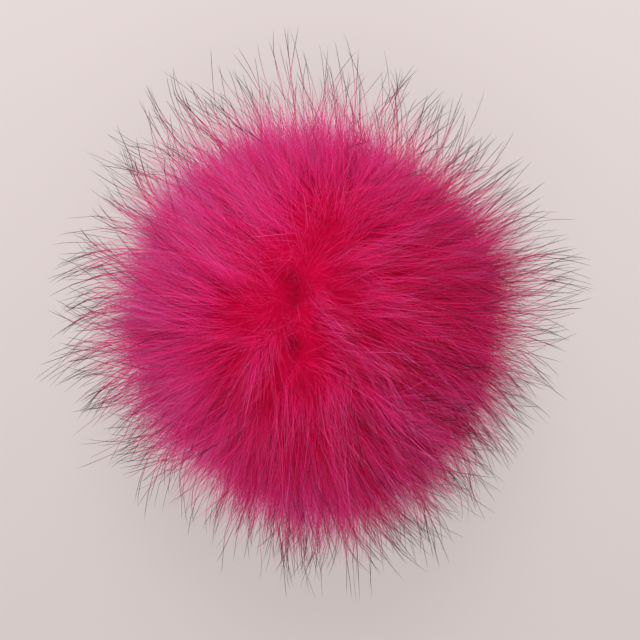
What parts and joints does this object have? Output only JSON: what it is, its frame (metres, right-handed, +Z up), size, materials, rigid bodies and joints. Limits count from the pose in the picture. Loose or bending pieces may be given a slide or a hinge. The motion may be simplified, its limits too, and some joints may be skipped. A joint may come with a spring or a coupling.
{
  "type": "fur pom pom",
  "caption": "Round pom pom of long dyed fur: a full ball of soft locks spreading from a whorl on top, resting on a small flat spot at its gathered base.",
  "frame": {"origin": "middle of the flat spot at the gathered base, on the surface the pom pom rests on", "axes": "+Z up from the base through the ball to the whorl on top, +Y towards the top of the picture, +X to its right"},
  "size_m": [0.1655, 0.1769, 0.1331],
  "materials": {
    "pink_fur": "long soft hair, hot pink with dark tips, matt with a faint sheen"
  },
  "bodies": {
    "root": {"fur_ball": "pink_fur"}
  },
  "joints": []
}
